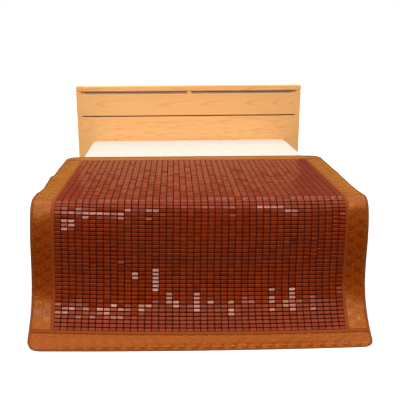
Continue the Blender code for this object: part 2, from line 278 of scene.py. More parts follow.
def drape(across, along, height):
    """Carries flat places on the mat onto the bed: arrays of one shape give an array of points.

    The rows bow by ROW_BOW (1 - (across / half)^2), the mat is turned by MAT_TURN, the way along it
    is measured on the profile, and height is laid off square to the profile. The soft border lifts
    by its ripple times the square of its share of the way out.
    """
    across, along, height = np.broadcast_arrays(across, along, height)
    fade = smooth_step((along - HEAD_END) / BOW_FADE_LENGTH)
    along = along + ROW_BOW * (1 - (across / MAT_HALF) ** 2) * fade
    x = MAT_SIDE_SHIFT + across * math.cos(MAT_TURN) - along * math.sin(MAT_TURN)
    path = along * math.cos(MAT_TURN) + across * math.sin(MAT_TURN)
    length, forward, drop, angle = PROFILE
    before = np.minimum(path - length[0], 0)
    path = np.maximum(path, length[0])
    tilt = np.interp(path, length, angle)
    y = -(np.interp(path, length, forward) + before)
    z = TOP_HEIGHT - np.interp(path, length, drop)
    ripples = np.array(EDGE_RIPPLES)
    left = np.interp(along, ripples[:, 0], ripples[:, 1])
    right = np.interp(along, ripples[:, 0], ripples[:, 2])
    softness = np.clip((np.abs(across) - FIELD_HALF) / EDGE_WIDTH, 0, 1) ** 2
    height = height + softness * np.where(across < 0, left, right)
    y = y - height * np.cos(tilt)
    z = z + height * np.sin(tilt)
    return np.stack([x + BED_MIDDLE, y + BEND_START, z], axis=-1)


# Meshes from arrays.


def new_piece(name, points, faces, material, flat_map=None, values=None, smooth=None):
    """A mesh object from arrays: points (n, 3) and a list of face arrays, each of one face size.

    flat_map gives each point its place in the piece's UV map, values its named numbers, and smooth
    says of each array in the list whether its faces are shaded smooth, which they are by default.
    """
    mesh = bpy.data.meshes.new(name)
    corners = np.concatenate([group.ravel() for group in faces]).astype(np.int32)
    sizes = np.concatenate([np.full(len(group), group.shape[1]) for group in faces])
    mesh.vertices.add(len(points))
    mesh.vertices.foreach_set("co", np.ascontiguousarray(points, dtype=np.float32).ravel())
    mesh.loops.add(len(corners))
    mesh.loops.foreach_set("vertex_index", corners)
    mesh.polygons.add(len(sizes))
    mesh.polygons.foreach_set("loop_start", (np.cumsum(sizes) - sizes).astype(np.int32))
    mesh.update(calc_edges=True)
    rounded = np.repeat(smooth or [True] * len(faces), [len(group) for group in faces])
    mesh.polygons.foreach_set("use_smooth", rounded)
    if flat_map is not None:
        layer = mesh.uv_layers.new(name="flat")
        layer.uv.foreach_set("vector", flat_map[corners].astype(np.float32).ravel())
    for key, numbers in (values or {}).items():
        attribute = mesh.attributes.new(key, "FLOAT", "POINT")
        attribute.data.foreach_set("value", numbers.astype(np.float32))
    mesh.materials.append(material)
    item = bpy.data.objects.new(name, mesh)
    bpy.context.scene.collection.objects.link(item)
    return item


def finish_piece(item, slot, *nodes):
    """A piece rides on the bed and stands for the solids that it is named with; its slot is not used."""
    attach(item, BODY)
    if nodes:
        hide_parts(*nodes)


def grid_faces(rows, columns, wrap_rows=False, wrap_columns=False):
    """Quads of a grid of points numbered row by row; a wrapped side joins its last line to its first."""
    row = np.arange(rows if wrap_rows else rows - 1)[:, None]
    column = np.arange(columns if wrap_columns else columns - 1)[None, :]
    next_row = (row + 1) % rows
    next_column = (column + 1) % columns
    corners = (row * columns + column, row * columns + next_column,
               next_row * columns + next_column, next_row * columns + column)
    return np.stack(np.broadcast_arrays(*corners), axis=-1).reshape(-1, 4)


def slab(top_height, bottom_height):
    """Closed slab over a grid: stacked heights of its top and bottom, and its faces.

    The top's faces run as the grid does, the bottom's the other way, and quads close the rim.
    """
    rows, columns = top_height.shape
    count = rows * columns
    heights = np.concatenate([top_height.ravel(), bottom_height.ravel()])
    top = grid_faces(rows, columns)
    index = np.arange(count).reshape(rows, columns)
    rim = np.concatenate([index[0, :-1], index[:-1, -1], index[-1, :0:-1], index[:0:-1, 0]])
    after = np.roll(rim, -1)
    wall = np.stack([rim, rim + count, after + count, after], axis=1)
    return heights, np.concatenate([top, top[:, ::-1] + count, wall])


def cloth_slab(name, across, along, top, bottom, material, flat_map, share):
    """A sewn sheet of some thickness, drawn flat on a grid and laid on the bed.

    Grid rows run from the hem towards the head and columns from left to right, so faces point out.
    Its way over from the inner seam at -1 to the outer at 1 is kept as each point's seam number, which
    places the painted seam shade.
    """
    heights, faces = slab(top, bottom)
    twice_across = np.tile(across.ravel(), 2)
    twice_along = np.tile(along.ravel(), 2)
    points = drape(twice_across, twice_along, heights)
    return new_piece(name, points, [faces], material, np.tile(flat_map.reshape(-1, 2), (2, 1)),
                     {"seam": np.tile(share.ravel(), 2)})


# Shader maths.


class Wire:
    """A shader socket that takes part in sums: each operator adds one Math node to its tree."""

    def __init__(self, tree, socket):
        self.tree = tree
        self.socket = socket

    def node(self, kind, inputs, output=0, stops=None, **settings):
        """Adds a node: its settings and ramp stops are set first, then its inputs' values or links."""
        made = self.tree.nodes.new(kind)
        for key, value in settings.items():
            setattr(made, key, value)
        if stops is not None:
            ramp = made.color_ramp
            while len(ramp.elements) < len(stops):
                ramp.elements.new(1.0)
            for element, (place, colour) in zip(ramp.elements, stops):
                element.position = place
                element.color = (*colour, 1.0)
        for key, value in inputs.items():
            if isinstance(value, Wire):
                self.tree.links.new(value.socket, made.inputs[key])
            else:
                made.inputs[key].default_value = value
        return Wire(self.tree, made.outputs[output])

    def apply(self, operation, *others):
        """A Math node's operation on this wire and the others after it."""
        return self.node("ShaderNodeMath", dict(enumerate((self, *others))), operation=operation)

    def __add__(self, other):
        return self.apply("ADD", other)

    __radd__ = __add__

    def __sub__(self, other):
        return self.apply("SUBTRACT", other)

    def __rsub__(self, other):
        return self.node("ShaderNodeMath", {0: other, 1: self}, operation="SUBTRACT")

    def __mul__(self, other):
        return self.apply("MULTIPLY", other)

    __rmul__ = __mul__

    def __truediv__(self, other):
        return self.apply("DIVIDE", other)

    def __abs__(self):
        return self.apply("ABSOLUTE")

    def step(self, low, high):
        """0 at low and 1 at high, with level ends; high may be the smaller."""
        values = {"Value": self, "From Min": low, "From Max": high}
        return self.node("ShaderNodeMapRange", values, interpolation_type="SMOOTHSTEP")


def noise(place, scale, detail=2.0, roughness=0.5, stretch=(1.0, 1.0, 1.0)):
    """Noise from 0 to 1 at a place that is first stretched along its axes."""
    moved = place.node("ShaderNodeMapping", {"Vector": place, "Scale": stretch})
    values = {"Vector": moved, "Scale": scale, "Detail": detail, "Roughness": roughness}
    return place.node("ShaderNodeTexNoise", values)


def blend(factor, first, second):
    """The mix of two colours, wires or plain ones, by a factor."""
    first, second = (colour if isinstance(colour, Wire) else (*colour, 1.0)
                     for colour in (first, second))
    return factor.node("ShaderNodeMix", {0: factor, 6: first, 7: second}, output=2,
                       data_type="RGBA", clamp_factor=True)


def tint(colour, share):
    """A plain colour, darker or lighter by a share."""
    return tuple(share * part for part in colour)


def new_material(name, space="Object"):
    """A material and the wire it starts from: Object coordinates, or UV where it follows the cloth."""
    material = bpy.data.materials.new(name)
    material.use_nodes = True
    tree = material.node_tree
    return material, Wire(tree, tree.nodes.new("ShaderNodeTexCoord").outputs[space])


def parts_of(vector):
    """The three numbers of a vector wire."""
    tree = vector.tree
    split = tree.nodes.new("ShaderNodeSeparateXYZ")
    tree.links.new(vector.socket, split.inputs[0])
    return [Wire(tree, socket) for socket in split.outputs]


def attribute(wire, name):
    """A named number of the mesh's points."""
    return wire.node("ShaderNodeAttribute", {}, output="Fac", attribute_name=name)


def dress(material, relief=None, depth=0.001, **inputs):
    """Sets the shader's inputs by name, wires or plain values, and bumps it by a relief in metres."""
    shader = material.node_tree.nodes["Principled BSDF"]
    if relief is not None:
        inputs["Normal"] = relief.node("ShaderNodeBump", {"Height": relief, "Distance": depth})
    for key, value in inputs.items():
        socket = shader.inputs[key.replace("_", " ")]
        if isinstance(value, Wire):
            material.node_tree.links.new(value.socket, socket)
        else:
            socket.default_value = (*value, 1.0) if hasattr(value, "__len__") else value
    return material


# Settings.


def colour_setting(name, default, description):
    return bpy.props.FloatVectorProperty(
        name=name, description=description, subtype="COLOR", size=3, min=0, max=1, default=default)


def length_setting(name, default, description):
    return bpy.props.FloatProperty(
        name=name, description=description, unit="LENGTH", min=0, default=default, precision=4)


def number_setting(name, default, description):
    return bpy.props.FloatProperty(name=name, description=description, default=default)


def angle_setting(name, degrees, description):
    return bpy.props.FloatProperty(
        name=name, description=description, subtype="ANGLE", default=math.radians(degrees))


class MatTileSettings(bpy.types.PropertyGroup):
    """The bamboo tiles and the cords that string them."""

    length: length_setting("Tile length", 0.0325, "A tile's length, across the mat")
    width: length_setting("Tile width", 0.0176, "A tile's width, along the mat")
    body: length_setting("Tile thickness", 0.0052, "From a tile's sole to its crown")
    side: length_setting("Side top", 0.0026, "From a tile's crown down to the top of its sides")
    shoulder: length_setting("Shoulder", 0.0006, "From a tile's crown down to its rounded shoulder")
    pitch_spread: angle_setting("Rocking", 2.5, "How far the tiles rock on their cords")
    roll_spread: angle_setting("Rolling", 0.6, "How far the tiles turn about the way along the mat")
    slip: length_setting("Slip", 0.0002, "How far the tiles stray from their places")
    dark: colour_setting("Dark bamboo", (0.093, 0.0078, 0.0008), "The darkest tiles")
    light: colour_setting("Light bamboo", (0.169, 0.0180, 0.0024), "The lightest tiles")
    # Tile edge: painted shade in the gaps between tiles, laid on the sides down to the sole.
    edge: colour_setting("Tile edge", (0.016, 0.0018, 0.0003), "The tiles' dark lower edges")
    cord_radius: length_setting("Cord radius", 0.0013, "The stringing cords' radius")
    cord_spread: length_setting("Cord spread", 0.0170, "Between the two cords of a column")
    cord_colour: colour_setting("Cord colour", (0.016, 0.003, 0.001), "The stringing cords")


class MatClothSettings(bpy.types.PropertyGroup):
    """The strip, the brocade, the binding and their stitches."""

    strip: colour_setting("Satin strip", (0.176, 0.029, 0.003), "The plain strip beside the tiles")
    ground: colour_setting("Brocade ground", (0.158, 0.0160, 0.0001), "The brocade's plain ground")
    figure: colour_setting("Brocade figure", (0.216, 0.0300, 0.0004), "The brocade's woven figures")
    sheen: colour_setting("Brocade sheen", (1.0, 0.49, 0.06), "The brocade's golden gloss")
    binding: colour_setting("Binding", (0.130, 0.029, 0.007), "The binding round the edge")
    thread: colour_setting("Thread", (0.300, 0.090, 0.030), "The sewing thread")
    flower_pitch: length_setting("Flower pitch", 0.0478, "Between two flowers across the brocade")
    stitch_pitch: length_setting("Stitch pitch", 0.0050, "Between two stitches")
    stitch_length: length_setting("Stitch length", 0.0034, "One stitch")


class BedSettings(bpy.types.PropertyGroup):
    """The plain bed."""

    cover: colour_setting("Mattress cloth", (0.500, 0.475, 0.430), "The mattress's cloth")
    quilt: length_setting("Quilting", 0.120, "Between two rows of quilting stitches")
    quilt_depth: length_setting("Quilting depth", 0.0025, "How deep a row of stitches sinks")
    wood_light: colour_setting("Light wood", (0.820, 0.440, 0.165), "Early wood")
    wood_dark: colour_setting("Dark wood", (0.600, 0.240, 0.060), "Late wood")
    shade: colour_setting("Slot back", (0.420, 0.330, 0.250), "The board behind the slot")


class StudioSettings(bpy.types.PropertyGroup):
    """Floor, light and camera."""

    floor: colour_setting("Floor", (0.78, 0.78, 0.78), "The floor's colour")
    sky: number_setting("Overhead light", 3.0, "Brightness overhead")
    backdrop: number_setting("Backdrop", 0.03, "Brightness behind the bed")
    low_sky: number_setting("Low light", 0.02, "Brightness near the floor")
    key: bpy.props.FloatProperty(
        name="Key light", description="Power of the long soft box", subtype="POWER", default=680)
    key_height: angle_setting("Key height", 42, "The soft box's height above the horizon")
    key_distance: length_setting("Key distance", 8.0, "From the mat's bend to the soft box")
    key_width: length_setting("Key width", 7.0, "The soft box's width")
    key_depth: length_setting("Key depth", 0.75, "The soft box's depth")
    key_side: bpy.props.FloatProperty(
        name="Key side", description="The soft box's shift to the right", unit="LENGTH", default=-1.0)
    lens: number_setting("Lens", 54.54, "Focal length, mm on a picture 36 mm wide")
    shift: number_setting("Shift", 0.035, "Sideways shift, in picture widths")
    camera: bpy.props.FloatVectorProperty(
        name="Camera", description="The camera's place", subtype="TRANSLATION", size=3,
        default=(-0.2154, -3.8208, 1.5239))
    pitch: angle_setting("Camera pitch", 15.46, "How far the camera looks down")
    yaw: angle_setting("Camera yaw", 2.28, "How far the camera looks to the right")
    roll: angle_setting("Camera roll", -0.22, "How far the camera leans")


# The mat.


def tile_shape(settings):
    """One tile with rounded corners: points about the middle of its top, and faces by their size.

    Three rings of eight points, for the sole, the top of the sides and the rounded shoulder, and
    four points of the flat crown inside them.
    """
    half = np.array([settings.length, settings.width]) / 2
    corner = TILE_CORNER
    rings = []
    for (aside, back), height in zip(TILE_INSETS, (settings.body, settings.side, settings.shoulder)):
        x, y, height = half[0] - aside, half[1] - back, -height
        ring = [(x, corner - y), (x, y - corner), (x - corner, y), (corner - x, y)]
        ring += [(-across, -along) for across, along in ring]
        rings += [(across, along, height) for across, along in ring]
    x, y = half - TILE_CROWN_INSET
    crown = [(x, -y, 0.0), (x, y, 0.0), (-x, y, 0.0), (-x, -y, 0.0)]
    edge = 16 + np.arange(8)
    inner = 24 + np.arange(4)
    sides = np.stack([edge[0::2], edge[1::2], inner[[1, 2, 3, 0]], inner], axis=1)
    quads = np.concatenate([grid_faces(3, 8, wrap_columns=True), sides])
    corners = np.stack([edge[1::2], edge[[2, 4, 6, 0]], inner[[1, 2, 3, 0]]], axis=1)
    return np.array(rings + crown), [quads, corners, inner[None], np.arange(8)[None, ::-1]]


def tile_places(settings):
    """Middle, three axes, tilt and tone of every tile.

    The axes are the drape's own directions at the tile's middle. A tile's pitch is a share that
    runs smoothly down its column, plus its own chance, less its patch's turn; a glinting tile's is
    what brings it to the glint angle, plus a little stray. Its tone is its own chance plus its
    column's.
    """
    chance = np.random.default_rng(TILE_SEED)
    shape = (TILE_ROWS, TILE_COLUMNS)
    across = (np.arange(TILE_COLUMNS) + 0.5) * COLUMN_PITCH - FIELD_HALF
    along = FIELD_HEAD + (np.arange(TILE_ROWS) + 0.5) * ROW_PITCH
    across, along = np.broadcast_arrays(across[None, :], along[:, None])
    step = ROW_PITCH / 4
    middle = drape(across, along, 0)
    right = drape(across + step, along, 0) - drape(across - step, along, 0)
    back = drape(across, along - step, 0) - drape(across, along + step, 0)
    right /= np.linalg.norm(right, axis=-1, keepdims=True)
    up = np.cross(right, back)
    up /= np.linalg.norm(up, axis=-1, keepdims=True)
    axes = np.stack([right, np.cross(up, right), up], axis=-2)
    slow = chance.normal(size=shape)
    for _ in range(3):
        slow = (np.roll(slow, 1, axis=0) + slow + np.roll(slow, -1, axis=0)) / 3
    slow /= slow.std()
    pitch = settings.pitch_spread * ROCKING_SHARE * (slow + chance.normal(size=shape))
    for column, row, columns, rows, degrees in LIFTED_TILES:
        pitch[row:row + rows, column:column + columns] -= math.radians(degrees)
    lean = np.arcsin(np.clip(up[..., 2], -1, 1))
    for column, row, rows in GLINTING_TILES:
        shared = slice(row, row + rows), column
        pitch[shared] = GLINT_STRAY * pitch[shared] - (GLINT_ANGLE - lean[shared])
    roll = settings.roll_spread * chance.normal(size=shape)
    turn = settings.roll_spread * chance.normal(size=shape) * 0.8
    slip = settings.slip * chance.uniform(-1, 1, shape + (3,)) * (1, 1, 0.5)
    middle = middle + np.einsum("rci,rcij->rcj", slip, axes)
    tone = 0.5 + TONE_SPREAD * chance.normal(size=shape)
    tone = tone + COLUMN_TONE_SPREAD * chance.normal(size=(1, TILE_COLUMNS))
    return middle, axes, np.stack([pitch, roll, turn], axis=-1), np.clip(tone, 0, 1)


def repeat_faces(faces, points_each, count):
    """The faces of one small shape, renumbered for count copies of it."""
    starts = np.arange(count)[:, None, None] * points_each
    return [(group[None] + starts).reshape(-1, group.shape[1]) for group in faces]


def tubes(points):
    """Faces of closed tubes from points (tube, ring, side): quads along them and a cap at each end."""
    count, rings, sides = points.shape[:3]
    quads = grid_faces(rings, sides, wrap_columns=True)
    start = np.arange(sides)[None, ::-1]
    end = np.arange(sides)[None] + (rings - 1) * sides
    return repeat_faces([quads, start, end], rings * sides, count)


def loop_path(inset, spacing):
    """Round the mat at an inset from its outline: place across and along, and the outward direction.

    Four straight sides and four quarter circles, walked from the head end of the right side towards
    the hem in equal steps.
    """
    radius = CORNER_RADIUS - inset
    centre = MAT_HALF - CORNER_RADIUS
    low, high = HEAD_END + CORNER_RADIUS, HEM - CORNER_RADIUS
    turn = np.linspace(0, math.pi / 2, 25)
    middles = ((centre, high), (-centre, high), (-centre, low), (centre, low))
    angle = np.concatenate([turn + k * math.pi / 2 for k in range(4)])
    middles = np.repeat(middles, len(turn), axis=0)
    across = middles[:, 0] + radius * np.cos(angle)
    along = middles[:, 1] + radius * np.sin(angle)
    across, along, angle = (np.append(line, line[0]) for line in (across, along, angle))
    angle[-1] = math.tau
    walked = np.concatenate([[0], np.cumsum(np.hypot(np.diff(across), np.diff(along)))])
    steps = np.linspace(0, walked[-1], round(walked[-1] / spacing), endpoint=False)
    return (np.interp(steps, walked, across), np.interp(steps, walked, along),
            np.interp(steps, walked, angle), steps)


def uneven_wave(way, length, stray, drift):
    """A sine of one wavelength whose phase strays: sin(tau way / length + stray sin(drift))."""
    return np.sin(way * math.tau / length + stray * np.sin(drift))


def fibre_map(across, along):
    """The UV map's numbers: metres across and along the mat."""
    return np.stack([across, along], axis=-1)


def bamboo(settings):
    """Glossy carbonised bamboo: fibres run along each tile, and each tile has a tone of its own.

    The sides darken down to the sole: painted shade in the gaps between the tiles.
    """
    material, flat = new_material("carbonised bamboo", "UV")
    tone = attribute(flat, "tone")
    fibre = noise(flat, 1.0, detail=3, stretch=(35, 1400, 1))
    streak = noise(flat, 1.0, detail=2, stretch=(12, 260, 1))
    colour = blend(tone * 0.8 + fibre * 0.25 + streak * 0.3 - 0.17, settings.dark, settings.light)
    # Painted shade: the tile edge colour darkens each tile's sides towards its sole, in the gaps between
    # tiles.
    colour = blend(attribute(flat, "depth").step(0.1, 0.7) * 0.8, colour, settings.edge)
    rough = 0.13 + 0.10 * tone + 0.10 * (streak - 0.5)
    return dress(material, relief=fibre, depth=0.00004, Base_Color=colour, Roughness=rough,
                 Specular_IOR_Level=0.18, Specular_Tint=(1.0, 0.72, 0.58))


def cord_fibre(colour):
    """Twisted cord, dark and dull."""
    material, place = new_material("stringing cord")
    twist = noise(place, 900, detail=2)
    shade = blend(twist, tint(colour, 0.7), tint(colour, 1.3))
    return dress(material, relief=twist, depth=0.0002, Base_Color=shade, Roughness=0.75,
                 Specular_IOR_Level=0.15)


def threads(flat, pitch):
    """Satin's long floats: a fine ridge for each warp thread, broken by slow noise."""
    turn = parts_of(flat)[0] * (math.tau / pitch)
    ridge = turn.apply("SINE") * 0.5 + 0.5
    return ridge * (0.6 + 0.4 * noise(flat, 1.0, stretch=(600, 90, 1)))


def painted_seam_shade(shade, inner, outer):
    """Painted shade in the seams' grooves: darkens cloth where it runs into its seams, from a share of
    the way to the inner and outer one.
    """
    seam = attribute(shade, "seam")
    near = (0.0 - seam).step(inner, 1.0) + seam.step(outer, 1.0)
    return blend(near * SEAM_SHADE_STRENGTH, shade, SEAM_SHADE_COLOUR)


def satin(name, colour, gloss, rough):
    """Plain satin: fine threads, a soft sheen, and slow changes of shade along it."""
    material, flat = new_material(name, "UV")
    weave = threads(flat, SATIN_THREAD)
    cloud = noise(flat, 45, detail=3)
    shade = blend(weave * 0.5 + cloud * 0.5, tint(colour, 0.8), tint(colour, 1.2))
    # Painted shade at the seams.
    shade = painted_seam_shade(shade, 0.50, 0.72)
    return dress(material, relief=weave, depth=0.0002, Base_Color=shade, Specular_IOR_Level=gloss,
                 Roughness=rough + 0.1 * (cloud - 0.5), Specular_Tint=(1.0, 0.7, 0.4),
                 Sheen_Weight=0.25, Sheen_Roughness=0.35, Sheen_Tint=(1.0, 0.5, 0.2))


def brocade_figure(flat, pitch):
    """Where the figured weave shows: flowers on a half-drop lattice, whorls of leaves and a vine.

    In a cell CELL_ASPECT times as high as wide, with radius r and bearing t from its flower of size
    R: six petals end at r = R (0.76 + 0.24 cos 6t) round an eye, five leaves curl past them where
    cos(5t + 9 ln(r / R)) is high, four buds sit near the cell's corners, and a vine follows a sine
    down its edges. A slow noise bends the whole by a millimetre or two.
    """
    across, along, _ = parts_of(flat)
    across = across + noise(flat, 40, detail=1) * 0.006
    along = along + noise(flat, 33, detail=1) * 0.006
    height = pitch * CELL_ASPECT
    column = across / pitch
    index = column.apply("FLOOR")
    drop = index.apply("FLOORED_MODULO", 2.0) * 0.5
    row = along / height + drop
    x = (column.apply("FRACT") - 0.5) * pitch
    y = (row.apply("FRACT") - 0.5) * height
    r = (x * x + y * y).apply("SQRT")
    bearing = y.apply("ARCTAN2", x)
    size = pitch * FLOWER_SHARE
    six = (bearing * 6.0).apply("COSINE")
    curl = bearing * 5.0 + 9.0 * (r / size).apply("LOGARITHM", math.e)
    leaf = curl.apply("COSINE")
    petals = (r - size * (0.76 + 0.24 * six)).step(0.0008, -0.0008)
    eye = abs(r - size * 0.28).step(0.0006, 0.0012)
    whorl = abs(r - size * 1.52).step(size * 0.44, size * 0.26) * leaf.step(0.0, 0.3)
    bud_x, bud_y = abs(x) - pitch * 0.36, abs(y) - height * 0.40
    bud = (bud_x * bud_x + bud_y * bud_y).step(0.0000110, 0.0000060)
    wave = (along * (math.tau / height)).apply("SINE")
    stem = abs(abs(x) - pitch * (0.47 - 0.05 * wave)).step(0.0014, 0.0007)
    return (petals * eye).apply("MAXIMUM", whorl).apply("MAXIMUM", bud.apply("MAXIMUM", stem))


def brocade(settings):
    """Gold-brown satin brocade: dull figures on a shining ground, and cloudy changes of shade; its
    lighter flecks and clouds are random tone with painted sheen.
    """
    material, flat = new_material("satin brocade", "UV")
    figure = brocade_figure(flat, settings.flower_pitch)
    weave = threads(flat, SATIN_THREAD)
    cloud = noise(flat, 28, detail=3, roughness=0.6)
    cloth = blend(figure * 0.58 + weave * 0.12 + 0.05, settings.ground, settings.figure)
    # Painted sheen: random flecks and clouds lighten the brocade's colour from a darker one.
    sheen_fleck = noise(flat, 70, detail=2, roughness=0.7)
    shade = blend(sheen_fleck.step(0.36, 0.60) * 0.32 + cloud.step(0.30, 0.72) * 0.08 + 0.66,
                  BROCADE_SHADOW, cloth)
    # Painted shade at the seams.
    shade = painted_seam_shade(shade, 0.97, 0.97)
    return dress(material, relief=figure * 0.5 + weave * 0.1 + cloud, depth=0.0020, Base_Color=shade,
                 Roughness=0.26 + 0.30 * figure + 0.10 * (cloud - 0.5), IOR=BROCADE_IOR,
                 Specular_Tint=settings.sheen, Sheen_Weight=1.0, Sheen_Roughness=0.35,
                 Sheen_Tint=settings.sheen, Coat_Weight=0.12 - 0.07 * figure, Coat_Roughness=0.36)


class MAT_OT_stringing_cords(bpy.types.Operator):
    """Strings the tiles: two cords down each column and one through each row"""

    bl_idname = "bamboo_mat.stringing_cords"
    bl_label = "Stringing cords"

    def execute(self, context):
        """A cord is a tube that has a ring of CORD_SIDES points at each gap between tiles."""
        settings = context.scene.mat_tiles
        turn = np.arange(CORD_SIDES) * math.tau / CORD_SIDES
        aside, lift = settings.cord_radius * np.cos(turn), settings.cord_radius * np.sin(turn)
        column = (np.arange(TILE_COLUMNS) + 0.5) * COLUMN_PITCH - FIELD_HALF
        half = settings.cord_spread / 2
        column = np.sort(np.concatenate([column - half, column + half]))
        gaps = FIELD_HEAD + np.arange(TILE_ROWS + 1) * ROW_PITCH
        down = drape(column[:, None, None] + aside, gaps[None, :, None], CORD_HEIGHT + lift)
        row = FIELD_HEAD + (np.arange(TILE_ROWS) + 0.5) * ROW_PITCH
        gaps = np.arange(TILE_COLUMNS + 1) * COLUMN_PITCH - FIELD_HALF
        over = drape(gaps[None, :, None], row[:, None, None] - aside, CORD_HEIGHT + lift)
        faces = tubes(down)
        shift = down.size // 3
        faces += [group + shift for group in tubes(over)]
        points = np.concatenate([down.reshape(-1, 3), over.reshape(-1, 3)])
        cords = new_piece("stringing_cords", points, faces, cord_fibre(settings.cord_colour))
        finish_piece(cords, "bamboo_tile")
        return {"FINISHED"}


class MAT_OT_satin_strips(bpy.types.Operator):
    """Sews the plain satin strip round the tiles, in four lengths"""

    bl_idname = "bamboo_mat.satin_strips"
    bl_label = "Satin strips"

    def execute(self, context):
        cloth = satin("plain satin strip", context.scene.mat_cloth.strip, 0.12, 0.5)
        inner, outer = FIELD_HALF - STRIP_TUCK, FIELD_HALF + STRIP_WIDTH
        reach = MAT_HALF - BINDING_WIDTH + BINDING_LAP
        lengths = (
            ("left", -outer, -inner, FIELD_HEAD, FIELD_FOOT),
            ("right", inner, outer, FIELD_HEAD, FIELD_FOOT),
            ("foot", -reach, reach, FIELD_FOOT - STRIP_TUCK, FIELD_FOOT + STRIP_WIDTH),
            ("head", -reach, reach, FIELD_HEAD - STRIP_WIDTH, FIELD_HEAD + STRIP_TUCK),
        )
        for side, left, right, low, high in lengths:
            long_side = side in ("left", "right")
            columns, rows = (STRIP_CELLS, SIDE_CELLS) if long_side else (END_CELLS, STRIP_CELLS)
            across, along = np.meshgrid(np.linspace(left, right, columns + 1),
                                        np.linspace(high, low, rows + 1))
            way, over = (along, across) if long_side else (across, along)
            outward = 1 if side in ("right", "foot") else -1
            share = ((over - over.min()) / np.ptp(over) * 2 - 1) * outward
            pucker = 0.5 + 0.5 * uneven_wave(way, PUCKER_LENGTH, 1.0, way * 23)
            rise = STRIP_CROWN * (1 - share ** 2) * (0.7 + 0.3 * pucker)
            top = STRIP_TOP - STRIP_CROWN + rise
            bottom = STRIP_TOP - STRIP_THICKNESS + 0 * top
            strip = cloth_slab("satin_strip_" + side, across, along, top, bottom, cloth,
                               fibre_map(over, way), share)
            finish_piece(strip, "satin_strip", "strip_" + side)
        return {"FINISHED"}


class MAT_OT_brocade_border(bpy.types.Operator):
    """Sews the brocade border: two long sides, a foot panel and a head panel with round corners"""

    bl_idname = "bamboo_mat.brocade_border"
    bl_label = "Brocade border"

    def execute(self, context):
        """The long sides are plain grids. An end panel's lines run from the strip to the binding,
        closer together by a sine, and where they pass into the corners half their width is
        reach - R + R sqrt(1 - p^2), p the share of the radius R that is past.
        """
        cloth = brocade(context.scene.mat_cloth)
        inner = FIELD_HALF + STRIP_WIDTH - SEAM_LAP
        reach = MAT_HALF - BINDING_WIDTH + BINDING_LAP
        for side, sign in (("left", -1), ("right", 1)):
            over = np.linspace(inner, reach, BROCADE_CELLS + 1)[::sign] * sign
            across, along = np.meshgrid(over, np.linspace(FIELD_FOOT, FIELD_HEAD, SIDE_CELLS + 1))
            share = (np.abs(across) - inner) / (reach - inner)
            self.lay("brocade_" + side, across, along, share, along, cloth,
                     fibre_map(across, along), "border_" + side)
        bend = np.sin(np.linspace(0, math.pi / 2, BROCADE_CELLS + 5))
        for side, start, end in (("foot", FIELD_FOOT, HEM), ("head", FIELD_HEAD, HEAD_END)):
            way = 1 if end > start else -1
            first = start + way * (STRIP_WIDTH - SEAM_LAP)
            last = end - way * (BINDING_WIDTH - BINDING_LAP)
            lines = first + (last - first) * bend
            lines = lines[::-1] if way > 0 else lines
            radius = BROCADE_CORNER_RADIUS
            past = np.clip((np.abs(lines - first) - abs(last - first) + radius) / radius, 0, 1)
            half = reach - radius + radius * np.sqrt(1 - past ** 2)
            across = half[:, None] * np.linspace(-1, 1, END_CELLS + 1)
            along = lines[:, None] + 0 * across
            share = np.abs(along - first) / abs(last - first)
            self.lay("brocade_" + side, across, along, share, across, cloth,
                     fibre_map(along, across), "border_" + side)
        return {"FINISHED"}

    def lay(self, name, across, along, share, way, cloth, flat_map, node):
        """A panel that swells by 4 s (1 - s) between its seams, s its share of the way over, with
        short puckers that die away from both seams and a few long waves.
        """
        swell = 4 * share * (1 - share)
        pull = np.exp(-share / PUCKER_REACH) + np.exp(-(1 - share) / PUCKER_REACH)
        pucker = uneven_wave(way, PUCKER_LENGTH, 2.3, way * 31 + share * 4)
        wave = np.sin(way * 19 + 3 * share) * np.sin(way * 7.3 + 1)
        top = BROCADE_TOP - PANEL_SWELL + PANEL_SWELL * swell
        top = top + PUCKER_DEPTH * pull * (pucker - 1) / 2 * swell ** 0.5 + PANEL_WAVE * swell * wave
        bottom = BROCADE_TOP - BROCADE_THICKNESS + 0 * top
        panel = cloth_slab(name, across, along, top, bottom, cloth, flat_map, 2 * share - 1)
        finish_piece(panel, "brocade", node)


class MAT_OT_edge_binding(bpy.types.Operator):
    """Binds the mat's outline with one folded strip, a flattened oval carried round its corners"""

    bl_idname = "bamboo_mat.edge_binding"
    bl_label = "Edge binding"

    def execute(self, context):
        """An oval with its sine and cosine raised to BINDING_FLATNESS, carried round the outline
        and thinned in waves that pucker it.
        """
        across, along, outward, walked = loop_path(BINDING_WIDTH / 2, BINDING_STEP)
        turn = np.arange(BINDING_SIDES) * math.tau / BINDING_SIDES
        flatten = BINDING_FLATNESS
        aside = np.sign(np.cos(turn)) * np.abs(np.cos(turn)) ** flatten * BINDING_WIDTH / 2
        lift = np.sign(np.sin(turn)) * np.abs(np.sin(turn)) ** flatten * BINDING_THICKNESS / 2
        wave = uneven_wave(walked, BINDING_PUCKER, 2.0, walked * 17)
        pucker = 1 - BINDING_PUCKER_DEPTH * (0.5 + 0.5 * wave)
        height = BINDING_TOP - BINDING_THICKNESS / 2 + lift[None, :] * pucker[:, None]
        points = drape(across[:, None] + np.cos(outward)[:, None] * aside,
                       along[:, None] + np.sin(outward)[:, None] * aside, height)
        faces = grid_faces(len(walked), BINDING_SIDES, wrap_rows=True, wrap_columns=True)
        flat_map = np.stack(np.broadcast_arrays(walked[:, None], aside[None, :] + 0 * height), axis=-1)
        cloth = satin("binding satin", context.scene.mat_cloth.binding, 0.25, 0.5)
        binding = new_piece("edge_binding", points.reshape(-1, 3), [faces], cloth,
                            flat_map.reshape(-1, 2))
        finish_piece(binding, "edge_binding", *("binding_" + side for side in SIDES))
        return {"FINISHED"}


